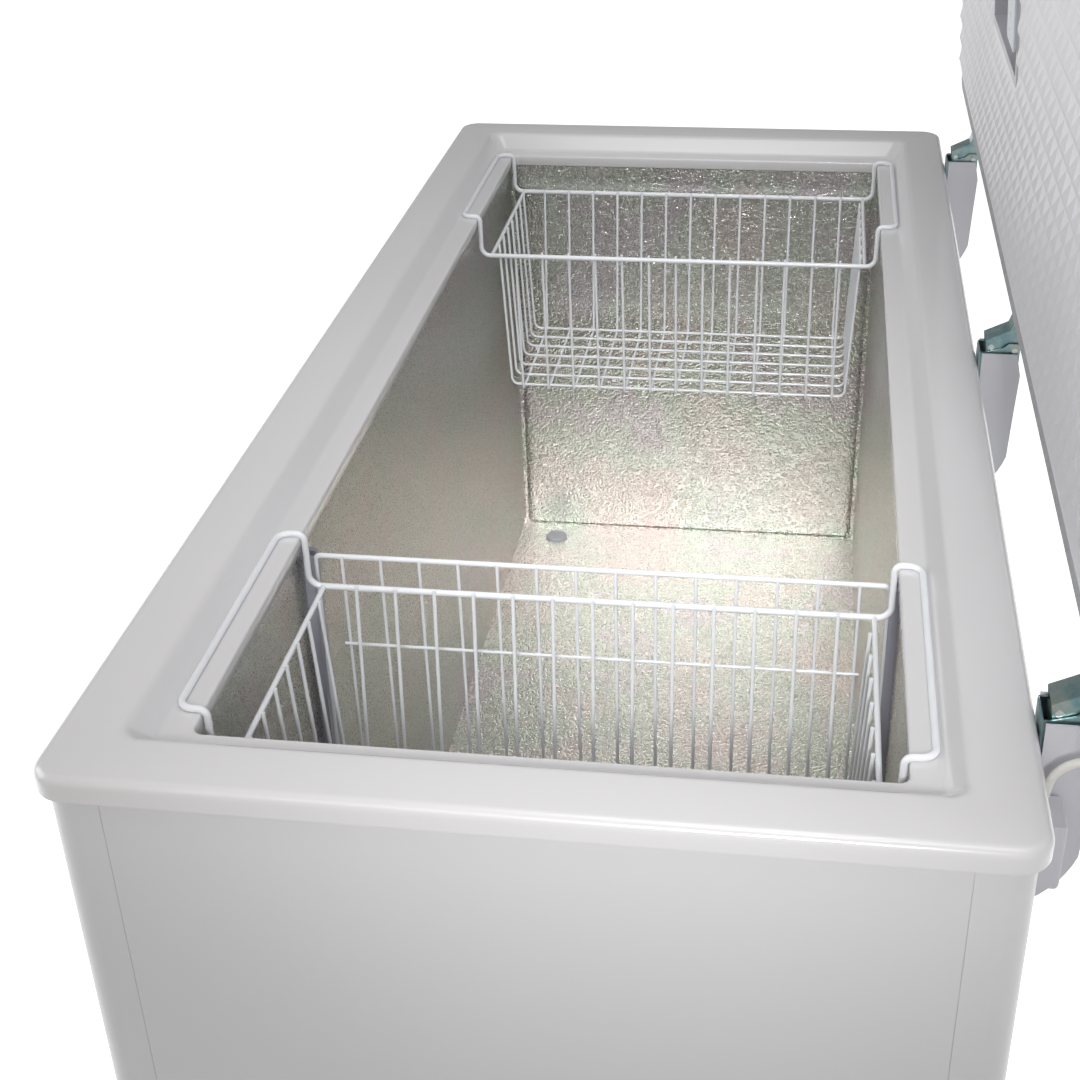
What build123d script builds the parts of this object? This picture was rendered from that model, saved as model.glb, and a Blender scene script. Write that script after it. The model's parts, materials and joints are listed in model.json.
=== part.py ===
from build123d import *
import math
import os

os.makedirs("parts", exist_ok=True)

# Chest freezer, millimetres. Origin: centre of the cabinet's footprint on the floor.
# +X runs along the freezer to its compressor end, +Y to the hinge side, +Z up.
# The lid is modelled open against its stops, and closes by turning about +X.

# ---- cabinet
rim_length = 1570.0
rim_width = 700.0
rim_height = 790.0
rim_corner = 26.0
rim_edge = 8.0
rim_skirt = 19.0
plastic = 2.5
body_inset = 7.0
body_corner = 21.0
sheet = 0.8
seam_inset = 50.0
base_height = 85.0

# ---- recess in the collar, measured inwards from the rim's edge
flange_side = 52.0
flange_end = 54.0
slope_run = 15.0
ledge_drop = 21.5
lip_drop = 36.0
lip_side = 89.0
lip_end = 91.0
lip_round = 4.0

# ---- liner
liner_length = 1396.0
liner_width = 530.0
liner_depth = 633.0
liner_sheet = 1.0
step_start = 430.0
step_drop = 360.0
wall_foam = 50.0

# ---- lid
open_angle = 86.0
pivot_y = 386.0
pivot_rise = 10.0
lid_length = 1574.0
lid_width = 704.0
lid_corner = 28.0
lid_near_edge = 32.0
lid_back = 40.0
lid_sheet = 1.2
gasket_wide = 18.0
gasket_tall = 8.6
gasket_inset = 30.0
plug_inset = 58.0
plug_tall = 11.5
lamp_x = -70.0
lamp_s = 353.0
lamp_length = 250.0
lamp_width = 130.0

# ---- hinges
hinge_places = (-635.0, 0.0, 635.0)
hinge_cover_width = 41.0
pin_radius = 3.0

# ---- wire goods
ledge_rod = 6.0
grid_rod = 3.5
cross_rod = 5.0
basket_length = 262.0
basket_far_x = -554.0
basket_near_x = 538.0
long_wire_drop = 72.0
basket_drop = 273.0
x_wire_count = 13
x_wire_pitch = 35.5
y_wire_count = 7
y_wire_pitch = 33.0
divider_x = 385.5
divider_rod = 5.0
divider_wires = 14
divider_pitch = 35.5
divider_thin = 3.0

# ---- castors
wheel_radius = 25.0
wheel_width = 22.0
castor_x = 690.0
castor_y = 270.0
axle_radius = 4.0

# ---- worked out from the sizes above
body_length = rim_length - 2 * body_inset
body_width = rim_width - 2 * body_inset
skirt_z = rim_height - rim_skirt
ledge_z = rim_height - ledge_drop
lip_z = rim_height - lip_drop
floor_z = rim_height - liner_depth
step_z = rim_height - step_drop
liner_top = ledge_z - plastic - 1.0
half_liner = liner_length / 2
half_liner_y = liner_width / 2
bay_start = step_start + wall_foam
bay_top = step_z - wall_foam
pivot_z = rim_height + pivot_rise
lid_mid = lid_near_edge + lid_width / 2
lean = math.radians(90 - open_angle)
panel_height = skirt_z + 10 - base_height - 2
into_lid = (0, -math.cos(lean), -math.sin(lean))
along_lid = (0, -math.sin(lean), math.cos(lean))
lid_plane = Plane(origin=(0, pivot_y, pivot_z), x_dir=(1, 0, 0), z_dir=into_lid)
lid_depth = Axis((0, pivot_y, pivot_z), into_lid)


def wire(points, radius, bends):
    """A round bar along straight runs joined by tangent arcs."""
    with BuildPart() as bar:
        with BuildLine() as route:
            FilletPolyline(*points, radius=bends)
        with BuildSketch(Plane(route.line @ 0, z_dir=route.line % 0)):
            Circle(radius)
        sweep(path=route.line)
    return bar.part


# ================= cabinet casing =================

grille_x = 630.0
grille_z = 225.0
grille_wide = 220.0
grille_high = 210.0

with BuildPart() as front_panel:
    with BuildSketch(Plane.XY.offset(base_height + 2)):
        RectangleRounded(body_length, body_width, body_corner)
        RectangleRounded(
            body_length - 2 * sheet, body_width - 2 * sheet, body_corner - sheet, mode=Mode.SUBTRACT
        )
        with Locations((0, seam_inset)):
            Rectangle(rim_length, rim_width, mode=Mode.SUBTRACT)
    extrude(amount=panel_height)
    with Locations((grille_x, -body_width / 2, grille_z)):
        Box(grille_wide - 10, 10, grille_high - 10, mode=Mode.SUBTRACT)
front_panel.part.label = "front_panel"
export_step(front_panel.part, "parts/front_panel.step")

gland_x = 560.0
gland_z = 150.0
rear_grille_x = 665.0
rear_grille_wide = 150.0

with BuildPart() as rear_panel:
    with BuildSketch(Plane.XY.offset(base_height + 2)):
        RectangleRounded(body_length, body_width, body_corner)
        RectangleRounded(
            body_length - 2 * sheet, body_width - 2 * sheet, body_corner - sheet, mode=Mode.SUBTRACT
        )
        with Locations((0, -seam_inset)):
            Rectangle(rim_length, rim_width, mode=Mode.SUBTRACT)
    extrude(amount=panel_height)
    with Locations((rear_grille_x, body_width / 2, grille_z)):
        Box(rear_grille_wide - 10, 10, grille_high - 10, mode=Mode.SUBTRACT)
    with Locations(Plane.XZ.offset(-body_width / 2)):
        with Locations((gland_x, gland_z)):
            Cylinder(9.0, 10, mode=Mode.SUBTRACT)
rear_panel.part.label = "rear_panel"
export_step(rear_panel.part, "parts/rear_panel.step")

end_panel_width = rim_width - 2 * seam_inset - 0.6

for side, name in ((-1, "left_end_panel"), (1, "right_end_panel")):
    with BuildPart() as end_panel:
        with Locations((side * (body_length - sheet) / 2, 0, base_height + 2)):
            Box(
                sheet,
                end_panel_width,
                panel_height,
                align=(Align.CENTER, Align.CENTER, Align.MIN),
            )
    end_panel.part.label = name
    export_step(end_panel.part, f"parts/{name}.step")

drain_x = -646.5
drain_y = -206.0
drain_tube = 9.5
drain_spigot = 9.0
drain_end = 58.0

# Folded steel tray under the foam, with an upturned hem and air slots under the compressor.
with BuildPart() as base_frame:
    with BuildSketch(Plane.XY.offset(base_height)):
        RectangleRounded(body_length, body_width, body_corner)
    extrude(amount=2)
    with Locations((630, 0, base_height)):
        with GridLocations(30, 0, 7, 1):
            Box(8, 260, 10, mode=Mode.SUBTRACT)
    with Locations((drain_x, drain_y, base_height)):
        Cylinder(drain_tube + 0.5, 10, mode=Mode.SUBTRACT)
    with BuildSketch(Plane.XY.offset(base_height)):
        for rail_y in (-castor_y, castor_y):
            with Locations((0, rail_y)):
                Rectangle(2 * castor_x - 80, 50)
                Rectangle(2 * castor_x - 84, 46, mode=Mode.SUBTRACT)
    extrude(amount=-12)
base_frame.part.label = "base_frame"
export_step(base_frame.part, "parts/base_frame.step")

gap = 0.2
foam_low = base_height + 2 + gap

with BuildPart() as foam_body:
    with BuildSketch(Plane.XY.offset(foam_low)):
        RectangleRounded(
            body_length - 2 * (sheet + gap), body_width - 2 * (sheet + gap), body_corner - sheet - gap
        )
    extrude(amount=liner_top - foam_low)
    outside = liner_sheet + gap
    with BuildSketch(Plane.XZ.offset(-half_liner_y - outside)):
        with BuildLine():
            Polyline(
                (-half_liner - outside, floor_z - outside),
                (step_start + outside, floor_z - outside),
                (step_start + outside, step_z - outside),
                (half_liner + outside, step_z - outside),
                (half_liner + outside, rim_height),
                (-half_liner - outside, rim_height),
                close=True,
            )
        make_face()
    extrude(amount=liner_width + 2 * outside, mode=Mode.SUBTRACT)
    with Locations((bay_start, 0, 0)):
        Box(
            rim_length,
            rim_width,
            bay_top,
            align=(Align.MIN, Align.CENTER, Align.MIN),
            mode=Mode.SUBTRACT,
        )
    with Locations((drain_x, drain_y, base_height)):
        Cylinder(drain_tube + 0.3, 300, mode=Mode.SUBTRACT)
foam_body.part.label = "foam_body"
export_step(foam_body.part, "parts/foam_body.step")

# ================= liner: bent and flat sheets =================

for side, name in ((-1, "liner_front_wall"), (1, "liner_rear_wall")):
    face = half_liner_y if side > 0 else -half_liner_y - liner_sheet
    with BuildPart() as liner_wall:
        with BuildSketch(Plane.XZ.offset(-face)):
            with BuildLine():
                Polyline(
                    (-half_liner, floor_z),
                    (step_start, floor_z),
                    (step_start, step_z),
                    (half_liner, step_z),
                    (half_liner, liner_top),
                    (-half_liner, liner_top),
                    close=True,
                )
            make_face()
        extrude(amount=-liner_sheet)
    liner_wall.part.label = name
    export_step(liner_wall.part, f"parts/{name}.step")

for side, name, low in ((-1, "liner_left_end", floor_z), (1, "liner_right_end", step_z)):
    with BuildPart() as liner_end:
        with Locations((side * (half_liner + liner_sheet / 2), 0, low)):
            Box(
                liner_sheet,
                liner_width + 2 * liner_sheet,
                liner_top - low,
                align=(Align.CENTER, Align.CENTER, Align.MIN),
            )
    liner_end.part.label = name
    export_step(liner_end.part, f"parts/{name}.step")

with BuildPart() as liner_floor:
    with Locations((-half_liner - liner_sheet, 0, floor_z)):
        Box(
            half_liner + step_start + 2 * liner_sheet,
            liner_width + 2 * liner_sheet,
            liner_sheet,
            align=(Align.MIN, Align.CENTER, Align.MAX),
        )
    with Locations((drain_x, drain_y, floor_z)):
        Cylinder(drain_tube + 0.3, 10, mode=Mode.SUBTRACT)
liner_floor.part.label = "liner_floor"
export_step(liner_floor.part, "parts/liner_floor.step")

with BuildPart() as liner_step:
    with BuildSketch(Plane.XZ.offset(-half_liner_y - liner_sheet)):
        with BuildLine():
            Polyline(
                (step_start, floor_z),
                (step_start, step_z),
                (half_liner + liner_sheet, step_z),
                (half_liner + liner_sheet, step_z - liner_sheet),
                (step_start + liner_sheet, step_z - liner_sheet),
                (step_start + liner_sheet, floor_z),
                close=True,
            )
        make_face()
    extrude(amount=liner_width + 2 * liner_sheet)
liner_step.part.label = "liner_step"
export_step(liner_step.part, "parts/liner_step.step")

# ================= top collar: one moulding =================

slope_length = rim_length - 2 * flange_end
slope_width = rim_width - 2 * flange_side
ledge_length = slope_length - 2 * slope_run
ledge_width = slope_width - 2 * slope_run
lip_length = rim_length - 2 * lip_end
lip_width = rim_width - 2 * lip_side

with BuildPart() as top_collar:
    with BuildSketch(Plane.XY.offset(skirt_z)):
        RectangleRounded(rim_length, rim_width, rim_corner)
    extrude(amount=rim_skirt)
    fillet(top_collar.faces().sort_by(Axis.Z)[-1].edges(), rim_edge)
    with BuildSketch(Plane.XY.offset(skirt_z)):
        RectangleRounded(rim_length - 2 * plastic, rim_width - 2 * plastic, rim_corner - plastic)
    extrude(amount=rim_skirt - rim_edge, mode=Mode.SUBTRACT)
    with BuildSketch(Plane.XY.offset(rim_height - rim_edge)):
        RectangleRounded(rim_length - 2 * rim_edge, rim_width - 2 * rim_edge, rim_corner - rim_edge)
    extrude(amount=rim_edge - plastic, mode=Mode.SUBTRACT)
    # bowl of the recess, a wall thicker than the recess itself
    with BuildSketch(Plane.XY.offset(rim_height - plastic)):
        RectangleRounded(slope_length + 2 * plastic, slope_width + 2 * plastic, 30)
    with BuildSketch(Plane.XY.offset(ledge_z - plastic)):
        RectangleRounded(ledge_length + 2 * plastic, ledge_width + 2 * plastic, 24)
    loft()
    with BuildSketch(Plane.XY.offset(lip_z)):
        RectangleRounded(lip_length + 2 * plastic, lip_width + 2 * plastic, 12)
    extrude(amount=ledge_z - lip_z)
    # the recess and the opening
    with BuildSketch(Plane.XY.offset(rim_height)):
        RectangleRounded(slope_length, slope_width, 17)
    with BuildSketch(Plane.XY.offset(ledge_z)):
        RectangleRounded(ledge_length, ledge_width, 13)
    loft(mode=Mode.SUBTRACT)
    with BuildSketch(Plane.XY.offset(lip_z)):
        RectangleRounded(lip_length, lip_width, 10)
    extrude(amount=rim_height - lip_z, mode=Mode.SUBTRACT)
    lip_edges = [
        edge
        for edge in top_collar.edges().filter_by_position(Axis.Z, ledge_z - 0.01, ledge_z + 0.01)
        if abs(edge.center().X) < lip_length / 2 + 1 and abs(edge.center().Y) < lip_width / 2 + 1
    ]
    fillet(lip_edges, lip_round)
top_collar.part.label = "top_collar"
export_step(top_collar.part, "parts/top_collar.step")

# ================= wire baskets and divider =================

rod_z = ledge_z + ledge_rod / 2
long_z = rim_height - long_wire_drop
leg_y = lip_width / 2 - ledge_rod / 2 - 0.5
rod_y = lip_width / 2 + 19.0
y_floor = rim_height - basket_drop
x_floor = y_floor - grid_rod - 0.02
half_basket = basket_length / 2
cross_y = leg_y - 13.5

for middle, place in ((basket_far_x, "far"), (basket_near_x, "near")):
    near = middle + half_basket
    far = middle - half_basket
    # Half of the closed loop: from the middle of one long wire over a clip to the other.
    half_route = (
        (near, 0, long_z),
        (near, leg_y, long_z),
        (near, leg_y, rod_z),
        (near, rod_y, rod_z),
        (far, rod_y, rod_z),
        (far, leg_y, rod_z),
        (far, leg_y, long_z),
        (far, 0, long_z),
    )
    with BuildPart() as basket_frame:
        add(wire(half_route, ledge_rod / 2, (12, 7, 12, 12, 7, 12)))
        mirror(about=Plane.XZ)
        for end_y in (-cross_y, cross_y):
            with Locations((middle, end_y, long_z)):
                Cylinder(cross_rod / 2, basket_length, rotation=(0, 90, 0))
    basket_frame.part.label = f"basket_{place}_frame"
    export_step(basket_frame.part, f"parts/basket_{place}_frame.step")

    top_x = half_basket - ledge_rod / 2 - grid_rod / 2 - 0.02
    low_x = top_x - 19.0
    top_y = cross_y - cross_rod / 2 - grid_rod / 2 - 0.02
    low_y = top_y - 10.0
    wires = []
    for i in range(x_wire_count):
        y = (i - (x_wire_count - 1) / 2) * x_wire_pitch
        route = (
            (middle - top_x, y, long_z + 4),
            (middle - low_x, y, x_floor),
            (middle + low_x, y, x_floor),
            (middle + top_x, y, long_z + 4),
        )
        wires.append(wire(route, grid_rod / 2, (7, 7)))
    for i in range(y_wire_count):
        x = middle + (i - (y_wire_count - 1) / 2) * y_wire_pitch
        route = (
            (x, -top_y, long_z + 4),
            (x, -low_y, y_floor),
            (x, low_y, y_floor),
            (x, top_y, long_z + 4),
        )
        wires.append(wire(route, grid_rod / 2, (10, 10)))
    basket_grid = Compound(label=f"basket_{place}_grid", children=wires)
    export_step(basket_grid, f"parts/basket_{place}_grid.step")

divider_top = rim_height - 53.0
divider_low = floor_z + 30.0
divider_mid = rim_height - 143.0
divider_half = half_liner_y - 8.0
thin_x = divider_x + divider_rod / 2 + divider_thin / 2 - 0.3

with BuildPart() as divider:
    loop = (
        (divider_x, 0, divider_top),
        (divider_x, divider_half, divider_top),
        (divider_x, divider_half, divider_low),
        (divider_x, 0, divider_low),
    )
    add(wire(loop, divider_rod / 2, (6, 6)))
    mirror(about=Plane.XZ)
    for i in range(divider_wires):
        y = (i - (divider_wires - 1) / 2) * divider_pitch
        with Locations((thin_x, y, (divider_top + divider_low) / 2)):
            Cylinder(divider_thin / 2, divider_top - divider_low + 4)
    with Locations((thin_x + divider_thin - 0.3, 0, divider_mid)):
        Cylinder(divider_thin / 2, 2 * divider_half - 44, rotation=(90, 0, 0))
divider.part.label = "divider"
export_step(divider.part, "parts/divider.step")

# Upright channels on both long walls that the divider drops into.
guide_depth = 8.0
with BuildPart() as divider_guides:
    for side in (-1, 1):
        with Locations((divider_x, side * (half_liner_y - guide_depth / 2), (floor_z + lip_z) / 2)):
            Box(22, guide_depth, lip_z - floor_z - 30)
        with Locations((divider_x, side * (half_liner_y - guide_depth), (floor_z + lip_z) / 2)):
            Box(8, 2 * (guide_depth - 1.5), lip_z - floor_z, mode=Mode.SUBTRACT)
divider_guides.part.label = "divider_guides"
export_step(divider_guides.part, "parts/divider_guides.step")

# ================= lid =================


def lid_block(length, width, radius, low, high):
    """A rounded rectangle centred on the lid, drawn inwards between two depths from the pivot."""
    with BuildSketch(lid_plane.offset(low)) as outline:
        with Locations((0, lid_mid)):
            RectangleRounded(length, width, radius)
    return extrude(outline.sketch, amount=high - low)


frame_depth = 1.0
with BuildPart() as lid_outer_shell:
    with BuildSketch(lid_plane.offset(-lid_back)):
        with Locations((0, lid_mid)):
            RectangleRounded(lid_length, lid_width, lid_corner)
    extrude(amount=lid_back + frame_depth)
    fillet(lid_outer_shell.faces().sort_by(lid_depth)[0].edges(), 12)
    add(
        lid_block(
            lid_length - 4 * lid_sheet,
            lid_width - 4 * lid_sheet,
            lid_corner - 2 * lid_sheet,
            -lid_back + 12,
            frame_depth,
        ),
        mode=Mode.SUBTRACT,
    )
    add(
        lid_block(lid_length - 24, lid_width - 24, lid_corner - 12, -lid_back + lid_sheet, 0),
        mode=Mode.SUBTRACT,
    )
lid_outer_shell.part.label = "lid_outer_shell"
export_step(lid_outer_shell.part, "parts/lid_outer_shell.step")

panel_back = -1.5
gasket_length = lid_length - 2 * gasket_inset
gasket_width_out = lid_width - 2 * gasket_inset

with BuildPart() as lid_foam:
    add(lid_block(lid_length - 25, lid_width - 25, lid_corner - 12.5, -lid_back + 1.5, panel_back - 0.2))
    with BuildSketch(lid_plane.offset(-lid_back + 10)):
        with Locations((lamp_x, lamp_s)):
            Rectangle(lamp_length + 12, lamp_width + 12)
    extrude(amount=lid_back, mode=Mode.SUBTRACT)
lid_foam.part.label = "lid_foam"
export_step(lid_foam.part, "parts/lid_foam.step")

# Moulded inner panel: a flat border that carries the seal, and a raised field inside it.
with BuildPart() as lid_inner_panel:
    add(
        lid_block(
            lid_length - 4 * lid_sheet - 0.4,
            lid_width - 4 * lid_sheet - 0.4,
            lid_corner - 2 * lid_sheet - 0.2,
            panel_back,
            frame_depth,
        )
    )
    with BuildSketch(lid_plane.offset(frame_depth)):
        with Locations((0, lid_mid)):
            RectangleRounded(lid_length - 2 * plug_inset, lid_width - 2 * plug_inset, 30)
    extrude(amount=plug_tall, taper=14)
    with BuildSketch(lid_plane.offset(panel_back)):
        with Locations((0, lid_mid)):
            RectangleRounded(lid_length - 2 * plug_inset - 8, lid_width - 2 * plug_inset - 8, 26)
    extrude(amount=plug_tall, taper=14, mode=Mode.SUBTRACT)
    with BuildSketch(lid_plane.offset(panel_back - 5)):
        with Locations((lamp_x, lamp_s)):
            Rectangle(lamp_length, lamp_width)
    extrude(amount=plug_tall + 30, mode=Mode.SUBTRACT)
lid_inner_panel.part.label = "lid_inner_panel"
export_step(lid_inner_panel.part, "parts/lid_inner_panel.step")

with BuildPart() as lid_gasket:
    with BuildSketch(lid_plane.offset(frame_depth)):
        with Locations((0, lid_mid)):
            RectangleRounded(gasket_length, gasket_width_out, 24)
            RectangleRounded(
                gasket_length - 2 * gasket_wide,
                gasket_width_out - 2 * gasket_wide,
                10,
                mode=Mode.SUBTRACT,
            )
    extrude(amount=gasket_tall)
lid_gasket.part.label = "lid_gasket"
export_step(lid_gasket.part, "parts/lid_gasket.step")

# Lamp: a tray set into the inner panel, a bulb in its holder and a clear cover over it.
lamp_tray_back = -26.0
lamp_cover_length = 68.0
lamp_cover_rise = 14.0
lamp_face = frame_depth + plug_tall
with BuildPart() as lamp_tray:
    with BuildSketch(lid_plane.offset(lamp_tray_back)):
        with Locations((lamp_x, lamp_s)):
            Rectangle(lamp_length - 0.6, lamp_width - 0.6)
    extrude(amount=lamp_face - lamp_tray_back)
    with BuildSketch(lid_plane.offset(lamp_tray_back + 2)):
        with Locations((lamp_x, lamp_s)):
            Rectangle(lamp_length - 5, lamp_width - 5)
    extrude(amount=lamp_face - lamp_tray_back, mode=Mode.SUBTRACT)
    with BuildSketch(lid_plane.offset(lamp_face)):
        with Locations((lamp_x, lamp_s)):
            RectangleRounded(lamp_length + 12, lamp_width + 12, 6)
            Rectangle(lamp_length - 5, lamp_width - 5, mode=Mode.SUBTRACT)
    extrude(amount=1.6)
    with BuildSketch(lid_plane.offset(lamp_tray_back + 2)):
        with Locations((lamp_x - lamp_length / 2 + 18, lamp_s)):
            RectangleRounded(26, 34, 4)
    extrude(amount=26)
lamp_tray.part.label = "lamp_tray"
export_step(lamp_tray.part, "parts/lamp_tray.step")

bulb_plane = Plane(
    origin=lid_plane.from_local_coords((lamp_x - lamp_length / 2 + 31.2, lamp_s, lamp_tray_back + 16)),
    x_dir=along_lid,
    z_dir=(1, 0, 0),
)
with BuildPart() as lamp_bulb:
    with BuildSketch(bulb_plane):
        Circle(6.5)
    extrude(amount=14)
    with BuildSketch(bulb_plane.offset(14)):
        Circle(8)
    extrude(amount=34, taper=-3)
    fillet(lamp_bulb.faces().sort_by(Axis.X)[-1].edges(), 9)
lamp_bulb.part.label = "lamp_bulb"
export_step(lamp_bulb.part, "parts/lamp_bulb.step")

with BuildPart() as lamp_cover:
    with BuildSketch(lid_plane.offset(lamp_face + 1.7)):
        with Locations((lamp_x + (lamp_length - lamp_cover_length) / 2 + 3, lamp_s + lamp_cover_rise)):
            RectangleRounded(lamp_cover_length, lamp_width + 6 - 2 * lamp_cover_rise, 5)
    extrude(amount=3.2)
    fillet(lamp_cover.faces().sort_by(lid_depth)[-1].edges(), 1.4)
lamp_cover.part.label = "lamp_cover"
export_step(lamp_cover.part, "parts/lamp_cover.step")

# Grip along the lid's front edge, with a finger gap under it and the lock through its middle.
lid_far_edge = lid_near_edge + lid_width
grip_plane = Plane(origin=lid_plane.from_local_coords((0, lid_far_edge, 0)), x_dir=(1, 0, 0), z_dir=along_lid)
lock_radius = 9.0
with BuildPart() as lid_handle:
    with BuildSketch(grip_plane):
        with Locations((0, 17)):
            RectangleRounded(190, 30, 8)
    extrude(amount=20)
    fillet(lid_handle.faces().sort_by(Axis.Z)[-1].edges(), 6)
    with BuildSketch(grip_plane):
        with Locations((-60, 9), (60, 9)):
            Rectangle(52, 22)
    extrude(amount=13, mode=Mode.SUBTRACT)
    with BuildSketch(grip_plane):
        with Locations((0, 17)):
            Circle(lock_radius + 0.3)
    extrude(amount=22, mode=Mode.SUBTRACT)
lid_handle.part.label = "lid_handle"
export_step(lid_handle.part, "parts/lid_handle.step")

with BuildPart() as lock_cylinder:
    with BuildSketch(grip_plane.offset(1)):
        with Locations((0, 17)):
            Circle(lock_radius)
    extrude(amount=20)
    with BuildSketch(grip_plane.offset(17)):
        with Locations((0, 17)):
            Rectangle(1.6, 9)
    extrude(amount=6, mode=Mode.SUBTRACT)
lock_cylinder.part.label = "lock_cylinder"
export_step(lock_cylinder.part, "parts/lock_cylinder.step")

# ================= hinges =================

ear_in = 14.0
ear_out = 16.0
arm_in = 11.0
arm_out = 13.0
lever_s = 3.6
lever_depth = 23.3
spring_seat = 700.0

# Bracket: a plate joggled over the collar's skirt, two ears and the seat of the spring.
with BuildPart() as hinge_brackets:
    for x in hinge_places:
        for side in (-1, 1):
            with BuildSketch(Plane.YZ.offset(x + side * (ear_in + ear_out) / 2)):
                with BuildLine():
                    Polyline(
                        (351.5, pivot_z - 20),
                        (351.5, pivot_z - 3),
                        (356.5, pivot_z - 3),
                        (pivot_y - 12, pivot_z + 2),
                        (pivot_y - 6, pivot_z + 7),
                        (pivot_y + 3, pivot_z + 7),
                        (pivot_y + 5.5, pivot_z + 3),
                        (pivot_y + 5.5, pivot_z - 14),
                        (pivot_y - 3, spring_seat + 40),
                        (pivot_y - 8, spring_seat - 4),
                        (345, spring_seat - 34),
                        (345, skirt_z - 9),
                        (351.5, skirt_z - 1.5),
                        close=True,
                    )
                make_face()
                with Locations((pivot_y, pivot_z)):
                    Circle(pin_radius, mode=Mode.SUBTRACT)
            extrude(amount=(ear_out - ear_in) / 2, both=True)
        with Locations((x, 344.4, spring_seat + 8)):
            Box(2 * ear_out + 2, 2, 105)
        with Locations((x, 361, spring_seat)):
            Box(2 * ear_in + 1, 34, 2)
        with Locations((x, 366, spring_seat)):
            Cylinder(5.6, 10, mode=Mode.SUBTRACT)
        with Locations((x, 351.7, rim_height - 5)):
            Box(2 * ear_in + 1, 1.6, 22)
hinge_brackets.part.label = "hinge_brackets"
export_step(hinge_brackets.part, "parts/hinge_brackets.step")

# Moulded cover round each bracket, open at the top for the arm.
cover_back = 394.0
cover_top = 797.0
cover_low = 626.0
with BuildPart() as hinge_covers:
    for x in hinge_places:
        with BuildSketch(Plane.YZ.offset(x)):
            with BuildLine():
                Polyline(
                    (343.4, skirt_z - 6),
                    (353.4, skirt_z - 2),
                    (353.4, cover_top),
                    (cover_back - 5, cover_top),
                    (cover_back, cover_top - 23),
                    (cover_back - 2, cover_top - 66),
                    (cover_back - 4, cover_top - 117),
                )
                Spline(
                    (cover_back - 4, cover_top - 117),
                    (cover_back - 11, cover_top - 134),
                    (cover_back - 30, cover_top - 158),
                    (343.4, cover_low),
                )
                Line((343.4, cover_low), (343.4, skirt_z - 6))
            make_face()
        extrude(amount=hinge_cover_width / 2, both=True)
        with BuildSketch(Plane.YZ.offset(x)):
            with BuildLine():
                Polyline(
                    (340, cover_low + 22),
                    (352, cover_low + 24),
                    (cover_back - 24, cover_top - 140),
                    (cover_back - 6.6, cover_top - 117),
                    (cover_back - 4.4, cover_top - 66),
                    (cover_back - 2.2, cover_top - 23),
                    (cover_back - 2.2, cover_top + 5),
                    (340, cover_top + 5),
                    close=True,
                )
            make_face()
        extrude(amount=hinge_cover_width / 2 - 2.2, both=True, mode=Mode.SUBTRACT)
hinge_covers.part.label = "hinge_covers"
export_step(hinge_covers.part, "parts/hinge_covers.step")

with BuildPart() as pivot_pins:
    with Locations(*[(x, pivot_y, pivot_z) for x in hinge_places]):
        Cylinder(pin_radius, 2 * ear_out + 2, rotation=(0, 90, 0))
pivot_pins.part.label = "pivot_pins"
export_step(pivot_pins.part, "parts/pivot_pins.step")

# Arm: a pressed channel bolted to the lid's back edge, turning on the pivot pin.
with BuildPart() as hinge_arms:
    for x in hinge_places:
        for side in (-1, 1):
            arm_plane = Plane(
                origin=(x + side * (arm_in + arm_out) / 2, pivot_y, pivot_z), x_dir=along_lid, z_dir=(-1, 0, 0)
            )
            with BuildSketch(arm_plane):
                with BuildLine():
                    Polyline(
                        (lid_near_edge - 0.1, 28),
                        (lid_near_edge - 0.1, 0),
                        (21, -4.5),
                        (11, -29),
                        (-3, -28),
                        (-4.2, -6),
                        (-4.2, 3),
                        (-1, 6.5),
                        (8, 9),
                        (18, 28),
                        close=True,
                    )
                make_face()
                Circle(pin_radius + 0.05, mode=Mode.SUBTRACT)
                with Locations((lever_s, -lever_depth)):
                    Circle(pin_radius, mode=Mode.SUBTRACT)
            extrude(amount=(arm_out - arm_in) / 2, both=True)
        web_plane = Plane(origin=(x, pivot_y, pivot_z), x_dir=along_lid, z_dir=(-1, 0, 0))
        with BuildSketch(web_plane):
            with BuildLine():
                Polyline(
                    (lid_near_edge - 0.1, 28),
                    (lid_near_edge - 0.1, 0),
                    (21, -4.5),
                    (11, -29),
                    (9, -28.2),
                    (18.8, -4),
                    (lid_near_edge - 2.1, 2),
                    (lid_near_edge - 2.1, 28),
                    close=True,
                )
            make_face()
        extrude(amount=arm_out - 0.5, both=True)
hinge_arms.part.label = "hinge_arms"
export_step(hinge_arms.part, "parts/hinge_arms.step")

with BuildPart() as lever_pins:
    for x in hinge_places:
        lever_plane = Plane(
            origin=lid_plane.from_local_coords((x, lever_s, lever_depth)), x_dir=along_lid, z_dir=(1, 0, 0)
        )
        with BuildSketch(lever_plane):
            Circle(pin_radius)
        extrude(amount=arm_out + 0.4, both=True)
lever_pins.part.label = "lever_pins"
export_step(lever_pins.part, "parts/lever_pins.step")

# Counterbalance: a plunger under each lever pin, pushed up by a coil spring on its stem.
plunger_top = 798.6
with BuildPart() as hinge_plungers:
    for x in hinge_places:
        with Locations((x, 366, plunger_top - 5)):
            Box(19, 18, 10)
        with Locations((x, 366, plunger_top - 10)):
            Cylinder(5.0, 93, align=(Align.CENTER, Align.CENTER, Align.MAX))
hinge_plungers.part.label = "hinge_plungers"
export_step(hinge_plungers.part, "parts/hinge_plungers.step")

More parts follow.
